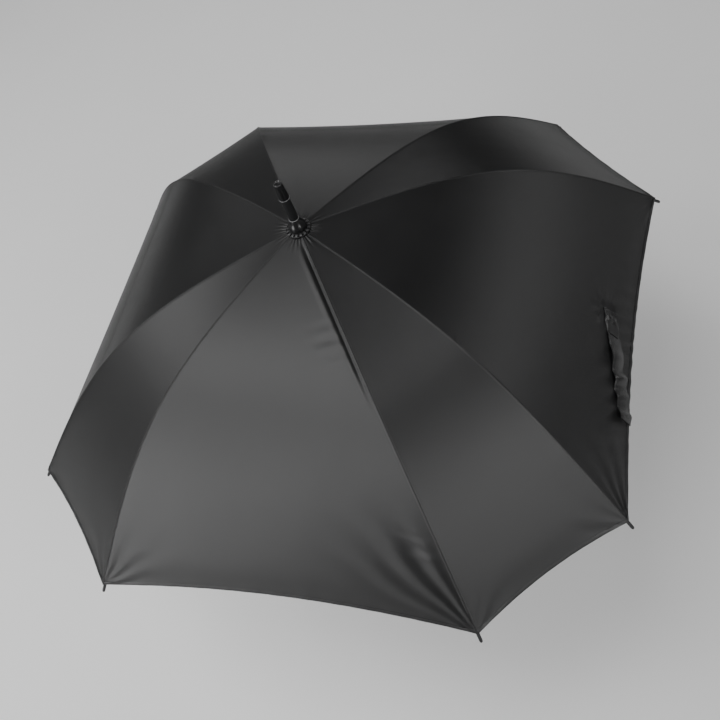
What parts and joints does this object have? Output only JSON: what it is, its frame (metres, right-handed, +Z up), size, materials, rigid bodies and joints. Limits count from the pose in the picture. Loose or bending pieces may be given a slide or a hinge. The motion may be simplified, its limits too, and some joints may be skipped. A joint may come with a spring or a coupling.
{
  "type": "golf umbrella",
  "caption": "Large black golf umbrella with ribs in close pairs, wide and narrow gores, woven-look shaft, push-button handle and tie strap.",
  "frame": {"origin": "centre of the flat bottom face of the handle's end cap", "axes": "+Z up the shaft, from the handle to the ferrule; +X along the middle of the wide gore that carries the tie strap"},
  "size_m": [1.0632, 1.0632, 0.995],
  "materials": {
    "canopy_cloth": "matt close weave with a faint sheen",
    "strap_cloth": "matt close weave",
    "black_gloss": "polished",
    "crown_rosette": "satin",
    "black_plastic": "satin",
    "woven_shaft": "woven fibre under clear resin",
    "rib_glass": "drawn glass fibre",
    "stretcher_steel": "black coated steel",
    "soft_grip": "soft touch",
    "spring_steel": "drawn wire"
  },
  "bodies": {
    "shaft": {"shaft": "woven_shaft", "ferrule_cap": "black_gloss", "crown_dome": "black_gloss", "rosette": "crown_rosette", "top_notch": "black_plastic", "opening_spring": "spring_steel", "handle_grip": "soft_grip", "handle_end_cap": "black_gloss", "handle_collar": "black_gloss"},
    "runner": {"runner": "black_plastic"},
    "push_button": {"push_button": "black_plastic"},
    "rib_inner_1": {"rib_inner_1": "rib_glass"},
    "rib_outer_1": {"rib_outer_1": "rib_glass", "rib_tip_1": "black_plastic"},
    "stretcher_1": {"stretcher_1": "stretcher_steel"},
    "rib_inner_2": {"rib_inner_2": "rib_glass"},
    "rib_outer_2": {"rib_outer_2": "rib_glass", "rib_tip_2": "black_plastic"},
    "stretcher_2": {"stretcher_2": "stretcher_steel"},
    "rib_inner_3": {"rib_inner_3": "rib_glass"},
    "rib_outer_3": {"rib_outer_3": "rib_glass", "rib_tip_3": "black_plastic"},
    "stretcher_3": {"stretcher_3": "stretcher_steel"},
    "rib_inner_4": {"rib_inner_4": "rib_glass"},
    "rib_outer_4": {"rib_outer_4": "rib_glass", "rib_tip_4": "black_plastic"},
    "stretcher_4": {"stretcher_4": "stretcher_steel"},
    "rib_inner_5": {"rib_inner_5": "rib_glass"},
    "rib_outer_5": {"rib_outer_5": "rib_glass", "rib_tip_5": "black_plastic"},
    "stretcher_5": {"stretcher_5": "stretcher_steel"},
    "rib_inner_6": {"rib_inner_6": "rib_glass"},
    "rib_outer_6": {"rib_outer_6": "rib_glass", "rib_tip_6": "black_plastic"},
    "stretcher_6": {"stretcher_6": "stretcher_steel"},
    "rib_inner_7": {"rib_inner_7": "rib_glass"},
    "rib_outer_7": {"rib_outer_7": "rib_glass", "rib_tip_7": "black_plastic"},
    "stretcher_7": {"stretcher_7": "stretcher_steel"},
    "rib_inner_8": {"rib_inner_8": "rib_glass"},
    "rib_outer_8": {"rib_outer_8": "rib_glass", "rib_tip_8": "black_plastic"},
    "stretcher_8": {"stretcher_8": "stretcher_steel"},
    "gore_wide_1_inner": {"gore_wide_1_inner": "canopy_cloth"},
    "gore_wide_1_outer": {"gore_wide_1_outer": "canopy_cloth", "tie_strap": "strap_cloth"},
    "gore_wide_2_inner": {"gore_wide_2_inner": "canopy_cloth"},
    "gore_wide_2_outer": {"gore_wide_2_outer": "canopy_cloth"},
    "gore_wide_3_inner": {"gore_wide_3_inner": "canopy_cloth"},
    "gore_wide_3_outer": {"gore_wide_3_outer": "canopy_cloth"},
    "gore_wide_4_inner": {"gore_wide_4_inner": "canopy_cloth"},
    "gore_wide_4_outer": {"gore_wide_4_outer": "canopy_cloth"},
    "gore_narrow_1_inner": {"gore_narrow_1_inner": "canopy_cloth"},
    "gore_narrow_1_outer": {"gore_narrow_1_outer": "canopy_cloth"},
    "gore_narrow_2_inner": {"gore_narrow_2_inner": "canopy_cloth"},
    "gore_narrow_2_outer": {"gore_narrow_2_outer": "canopy_cloth"},
    "gore_narrow_3_inner": {"gore_narrow_3_inner": "canopy_cloth"},
    "gore_narrow_3_outer": {"gore_narrow_3_outer": "canopy_cloth"},
    "gore_narrow_4_inner": {"gore_narrow_4_inner": "canopy_cloth"},
    "gore_narrow_4_outer": {"gore_narrow_4_outer": "canopy_cloth"}
  },
  "joints": [
    {"name": "runner_slide", "type": "slide", "parent": "shaft", "child": "runner", "axis": [0, 0, -1], "range_m": [0, 0.4842], "deforming": ["opening_spring"]},
    {"name": "button_press", "type": "slide", "parent": "shaft", "child": "push_button", "axis": [0, 1, 0], "range_m": [0, 0.0028], "stiffness_N_per_m": 600},
    {"name": "rib_fold_1", "type": "hinge", "parent": "shaft", "child": "rib_inner_1", "pos_m": [0.00984, 0.00607, 0.88552], "axis": [-0.5253, 0.8509, 0], "range_deg": [0, 77.25]},
    {"name": "rib_bend_1", "type": "hinge", "parent": "rib_inner_1", "child": "rib_outer_1", "pos_m": [0.27471, 0.1696, 0.82425], "axis": [-0.5253, 0.8509, 0], "range_deg": [-27.12, 0]},
    {"name": "stretcher_fold_1", "type": "hinge", "parent": "rib_inner_1", "child": "stretcher_1", "pos_m": [0.27252, 0.16825, 0.81828], "axis": [-0.5253, 0.8509, 0], "range_deg": [-151.82, 0]},
    {"name": "rib_fold_2", "type": "hinge", "parent": "shaft", "child": "rib_inner_2", "pos_m": [0.00607, 0.00984, 0.88552], "axis": [-0.8509, 0.5253, 0], "range_deg": [0, 77.25]},
    {"name": "rib_bend_2", "type": "hinge", "parent": "rib_inner_2", "child": "rib_outer_2", "pos_m": [0.1696, 0.27471, 0.82425], "axis": [-0.8509, 0.5253, 0], "range_deg": [-27.12, 0]},
    {"name": "stretcher_fold_2", "type": "hinge", "parent": "rib_inner_2", "child": "stretcher_2", "pos_m": [0.16825, 0.27252, 0.81828], "axis": [-0.8509, 0.5253, 0], "range_deg": [-151.82, 0]},
    {"name": "rib_fold_3", "type": "hinge", "parent": "shaft", "child": "rib_inner_3", "pos_m": [-0.00607, 0.00984, 0.88552], "axis": [-0.8509, -0.5253, 0], "range_deg": [0, 77.25]},
    {"name": "rib_bend_3", "type": "hinge", "parent": "rib_inner_3", "child": "rib_outer_3", "pos_m": [-0.1696, 0.27471, 0.82425], "axis": [-0.8509, -0.5253, 0], "range_deg": [-27.12, 0]},
    {"name": "stretcher_fold_3", "type": "hinge", "parent": "rib_inner_3", "child": "stretcher_3", "pos_m": [-0.16825, 0.27252, 0.81828], "axis": [-0.8509, -0.5253, 0], "range_deg": [-151.82, 0]},
    {"name": "rib_fold_4", "type": "hinge", "parent": "shaft", "child": "rib_inner_4", "pos_m": [-0.00984, 0.00607, 0.88552], "axis": [-0.5253, -0.8509, 0], "range_deg": [0, 77.25]},
    {"name": "rib_bend_4", "type": "hinge", "parent": "rib_inner_4", "child": "rib_outer_4", "pos_m": [-0.27471, 0.1696, 0.82425], "axis": [-0.5253, -0.8509, 0], "range_deg": [-27.12, 0]},
    {"name": "stretcher_fold_4", "type": "hinge", "parent": "rib_inner_4", "child": "stretcher_4", "pos_m": [-0.27252, 0.16825, 0.81828], "axis": [-0.5253, -0.8509, 0], "range_deg": [-151.82, 0]},
    {"name": "rib_fold_5", "type": "hinge", "parent": "shaft", "child": "rib_inner_5", "pos_m": [-0.00984, -0.00607, 0.88552], "axis": [0.5253, -0.8509, 0], "range_deg": [0, 77.25]},
    {"name": "rib_bend_5", "type": "hinge", "parent": "rib_inner_5", "child": "rib_outer_5", "pos_m": [-0.27471, -0.1696, 0.82425], "axis": [0.5253, -0.8509, 0], "range_deg": [-27.12, 0]},
    {"name": "stretcher_fold_5", "type": "hinge", "parent": "rib_inner_5", "child": "stretcher_5", "pos_m": [-0.27252, -0.16825, 0.81828], "axis": [0.5253, -0.8509, 0], "range_deg": [-151.82, 0]},
    {"name": "rib_fold_6", "type": "hinge", "parent": "shaft", "child": "rib_inner_6", "pos_m": [-0.00607, -0.00984, 0.88552], "axis": [0.8509, -0.5253, 0], "range_deg": [0, 77.25]},
    {"name": "rib_bend_6", "type": "hinge", "parent": "rib_inner_6", "child": "rib_outer_6", "pos_m": [-0.1696, -0.27471, 0.82425], "axis": [0.8509, -0.5253, 0], "range_deg": [-27.12, 0]},
    {"name": "stretcher_fold_6", "type": "hinge", "parent": "rib_inner_6", "child": "stretcher_6", "pos_m": [-0.16825, -0.27252, 0.81828], "axis": [0.8509, -0.5253, 0], "range_deg": [-151.82, 0]},
    {"name": "rib_fold_7", "type": "hinge", "parent": "shaft", "child": "rib_inner_7", "pos_m": [0.00607, -0.00984, 0.88552], "axis": [0.8509, 0.5253, 0], "range_deg": [0, 77.25]},
    {"name": "rib_bend_7", "type": "hinge", "parent": "rib_inner_7", "child": "rib_outer_7", "pos_m": [0.1696, -0.27471, 0.82425], "axis": [0.8509, 0.5253, 0], "range_deg": [-27.12, 0]},
    {"name": "stretcher_fold_7", "type": "hinge", "parent": "rib_inner_7", "child": "stretcher_7", "pos_m": [0.16825, -0.27252, 0.81828], "axis": [0.8509, 0.5253, 0], "range_deg": [-151.82, 0]},
    {"name": "rib_fold_8", "type": "hinge", "parent": "shaft", "child": "rib_inner_8", "pos_m": [0.00984, -0.00607, 0.88552], "axis": [0.5253, 0.8509, 0], "range_deg": [0, 77.25]},
    {"name": "rib_bend_8", "type": "hinge", "parent": "rib_inner_8", "child": "rib_outer_8", "pos_m": [0.27471, -0.1696, 0.82425], "axis": [0.5253, 0.8509, 0], "range_deg": [-27.12, 0]},
    {"name": "stretcher_fold_8", "type": "hinge", "parent": "rib_inner_8", "child": "stretcher_8", "pos_m": [0.27252, -0.16825, 0.81828], "axis": [0.5253, 0.8509, 0], "range_deg": [-151.82, 0]},
    {"name": "gore_wide_1_fold", "type": "hinge", "parent": "shaft", "child": "gore_wide_1_inner", "pos_m": [0.00984, 0, 0.88552], "axis": [0, 1, 0], "range_deg": [0, 75.49], "deforming": ["gore_wide_1_inner"]},
    {"name": "gore_wide_1_bend", "type": "hinge", "parent": "gore_wide_1_inner", "child": "gore_wide_1_outer", "pos_m": [0.27623, 0, 0.82838], "axis": [0, 1, 0], "range_deg": [-29.92, 0], "deforming": ["gore_wide_1_outer", "tie_strap"]},
    {"name": "gore_wide_2_fold", "type": "hinge", "parent": "shaft", "child": "gore_wide_2_inner", "pos_m": [0, 0.00984, 0.88552], "axis": [-1, 0, 0], "range_deg": [0, 75.49], "deforming": ["gore_wide_2_inner"]},
    {"name": "gore_wide_2_bend", "type": "hinge", "parent": "gore_wide_2_inner", "child": "gore_wide_2_outer", "pos_m": [0, 0.27623, 0.82838], "axis": [-1, 0, 0], "range_deg": [-29.92, 0], "deforming": ["gore_wide_2_outer"]},
    {"name": "gore_wide_3_fold", "type": "hinge", "parent": "shaft", "child": "gore_wide_3_inner", "pos_m": [-0.00984, 0, 0.88552], "axis": [0, -1, 0], "range_deg": [0, 75.49], "deforming": ["gore_wide_3_inner"]},
    {"name": "gore_wide_3_bend", "type": "hinge", "parent": "gore_wide_3_inner", "child": "gore_wide_3_outer", "pos_m": [-0.27623, 0, 0.82838], "axis": [0, -1, 0], "range_deg": [-29.92, 0], "deforming": ["gore_wide_3_outer"]},
    {"name": "gore_wide_4_fold", "type": "hinge", "parent": "shaft", "child": "gore_wide_4_inner", "pos_m": [0, -0.00984, 0.88552], "axis": [1, 0, 0], "range_deg": [0, 75.49], "deforming": ["gore_wide_4_inner"]},
    {"name": "gore_wide_4_bend", "type": "hinge", "parent": "gore_wide_4_inner", "child": "gore_wide_4_outer", "pos_m": [0, -0.27623, 0.82838], "axis": [1, 0, 0], "range_deg": [-29.92, 0], "deforming": ["gore_wide_4_outer"]},
    {"name": "gore_narrow_1_fold", "type": "hinge", "parent": "shaft", "child": "gore_narrow_1_inner", "pos_m": [0.00796, 0.00796, 0.88552], "axis": [-0.7071, 0.7071, 0], "range_deg": [0, 76.96], "deforming": ["gore_narrow_1_inner"]},
    {"name": "gore_narrow_1_bend", "type": "hinge", "parent": "gore_narrow_1_inner", "child": "gore_narrow_1_outer", "pos_m": [0.22338, 0.22338, 0.82838], "axis": [-0.7071, 0.7071, 0], "range_deg": [-27.57, 0], "deforming": ["gore_narrow_1_outer"]},
    {"name": "gore_narrow_2_fold", "type": "hinge", "parent": "shaft", "child": "gore_narrow_2_inner", "pos_m": [-0.00796, 0.00796, 0.88552], "axis": [-0.7071, -0.7071, 0], "range_deg": [0, 76.96], "deforming": ["gore_narrow_2_inner"]},
    {"name": "gore_narrow_2_bend", "type": "hinge", "parent": "gore_narrow_2_inner", "child": "gore_narrow_2_outer", "pos_m": [-0.22338, 0.22338, 0.82838], "axis": [-0.7071, -0.7071, 0], "range_deg": [-27.57, 0], "deforming": ["gore_narrow_2_outer"]},
    {"name": "gore_narrow_3_fold", "type": "hinge", "parent": "shaft", "child": "gore_narrow_3_inner", "pos_m": [-0.00796, -0.00796, 0.88552], "axis": [0.7071, -0.7071, 0], "range_deg": [0, 76.96], "deforming": ["gore_narrow_3_inner"]},
    {"name": "gore_narrow_3_bend", "type": "hinge", "parent": "gore_narrow_3_inner", "child": "gore_narrow_3_outer", "pos_m": [-0.22338, -0.22338, 0.82838], "axis": [0.7071, -0.7071, 0], "range_deg": [-27.57, 0], "deforming": ["gore_narrow_3_outer"]},
    {"name": "gore_narrow_4_fold", "type": "hinge", "parent": "shaft", "child": "gore_narrow_4_inner", "pos_m": [0.00796, -0.00796, 0.88552], "axis": [0.7071, 0.7071, 0], "range_deg": [0, 76.96], "deforming": ["gore_narrow_4_inner"]},
    {"name": "gore_narrow_4_bend", "type": "hinge", "parent": "gore_narrow_4_inner", "child": "gore_narrow_4_outer", "pos_m": [0.22338, -0.22338, 0.82838], "axis": [0.7071, 0.7071, 0], "range_deg": [-27.57, 0], "deforming": ["gore_narrow_4_outer"]}
  ],
  "couplings": [
    {"joint": "rib_fold_1", "follows": "runner_slide", "rad_per_m": 2.7845},
    {"joint": "rib_bend_1", "follows": "runner_slide", "rad_per_m": -0.97729},
    {"joint": "stretcher_fold_1", "follows": "runner_slide", "rad_per_m": -5.4724},
    {"joint": "rib_fold_2", "follows": "runner_slide", "rad_per_m": 2.7845},
    {"joint": "rib_bend_2", "follows": "runner_slide", "rad_per_m": -0.97729},
    {"joint": "stretcher_fold_2", "follows": "runner_slide", "rad_per_m": -5.4724},
    {"joint": "rib_fold_3", "follows": "runner_slide", "rad_per_m": 2.7845},
    {"joint": "rib_bend_3", "follows": "runner_slide", "rad_per_m": -0.97729},
    {"joint": "stretcher_fold_3", "follows": "runner_slide", "rad_per_m": -5.4724},
    {"joint": "rib_fold_4", "follows": "runner_slide", "rad_per_m": 2.7845},
    {"joint": "rib_bend_4", "follows": "runner_slide", "rad_per_m": -0.97729},
    {"joint": "stretcher_fold_4", "follows": "runner_slide", "rad_per_m": -5.4724},
    {"joint": "rib_fold_5", "follows": "runner_slide", "rad_per_m": 2.7845},
    {"joint": "rib_bend_5", "follows": "runner_slide", "rad_per_m": -0.97729},
    {"joint": "stretcher_fold_5", "follows": "runner_slide", "rad_per_m": -5.4724},
    {"joint": "rib_fold_6", "follows": "runner_slide", "rad_per_m": 2.7845},
    {"joint": "rib_bend_6", "follows": "runner_slide", "rad_per_m": -0.97729},
    {"joint": "stretcher_fold_6", "follows": "runner_slide", "rad_per_m": -5.4724},
    {"joint": "rib_fold_7", "follows": "runner_slide", "rad_per_m": 2.7845},
    {"joint": "rib_bend_7", "follows": "runner_slide", "rad_per_m": -0.97729},
    {"joint": "stretcher_fold_7", "follows": "runner_slide", "rad_per_m": -5.4724},
    {"joint": "rib_fold_8", "follows": "runner_slide", "rad_per_m": 2.7845},
    {"joint": "rib_bend_8", "follows": "runner_slide", "rad_per_m": -0.97729},
    {"joint": "stretcher_fold_8", "follows": "runner_slide", "rad_per_m": -5.4724},
    {"joint": "gore_wide_1_fold", "follows": "runner_slide", "rad_per_m": 2.721},
    {"joint": "gore_wide_1_bend", "follows": "runner_slide", "rad_per_m": -1.0782},
    {"joint": "gore_wide_2_fold", "follows": "runner_slide", "rad_per_m": 2.721},
    {"joint": "gore_wide_2_bend", "follows": "runner_slide", "rad_per_m": -1.0782},
    {"joint": "gore_wide_3_fold", "follows": "runner_slide", "rad_per_m": 2.721},
    {"joint": "gore_wide_3_bend", "follows": "runner_slide", "rad_per_m": -1.0782},
    {"joint": "gore_wide_4_fold", "follows": "runner_slide", "rad_per_m": 2.721},
    {"joint": "gore_wide_4_bend", "follows": "runner_slide", "rad_per_m": -1.0782},
    {"joint": "gore_narrow_1_fold", "follows": "runner_slide", "rad_per_m": 2.774},
    {"joint": "gore_narrow_1_bend", "follows": "runner_slide", "rad_per_m": -0.99364},
    {"joint": "gore_narrow_2_fold", "follows": "runner_slide", "rad_per_m": 2.774},
    {"joint": "gore_narrow_2_bend", "follows": "runner_slide", "rad_per_m": -0.99364},
    {"joint": "gore_narrow_3_fold", "follows": "runner_slide", "rad_per_m": 2.774},
    {"joint": "gore_narrow_3_bend", "follows": "runner_slide", "rad_per_m": -0.99364},
    {"joint": "gore_narrow_4_fold", "follows": "runner_slide", "rad_per_m": 2.774},
    {"joint": "gore_narrow_4_bend", "follows": "runner_slide", "rad_per_m": -0.99364}
  ]
}
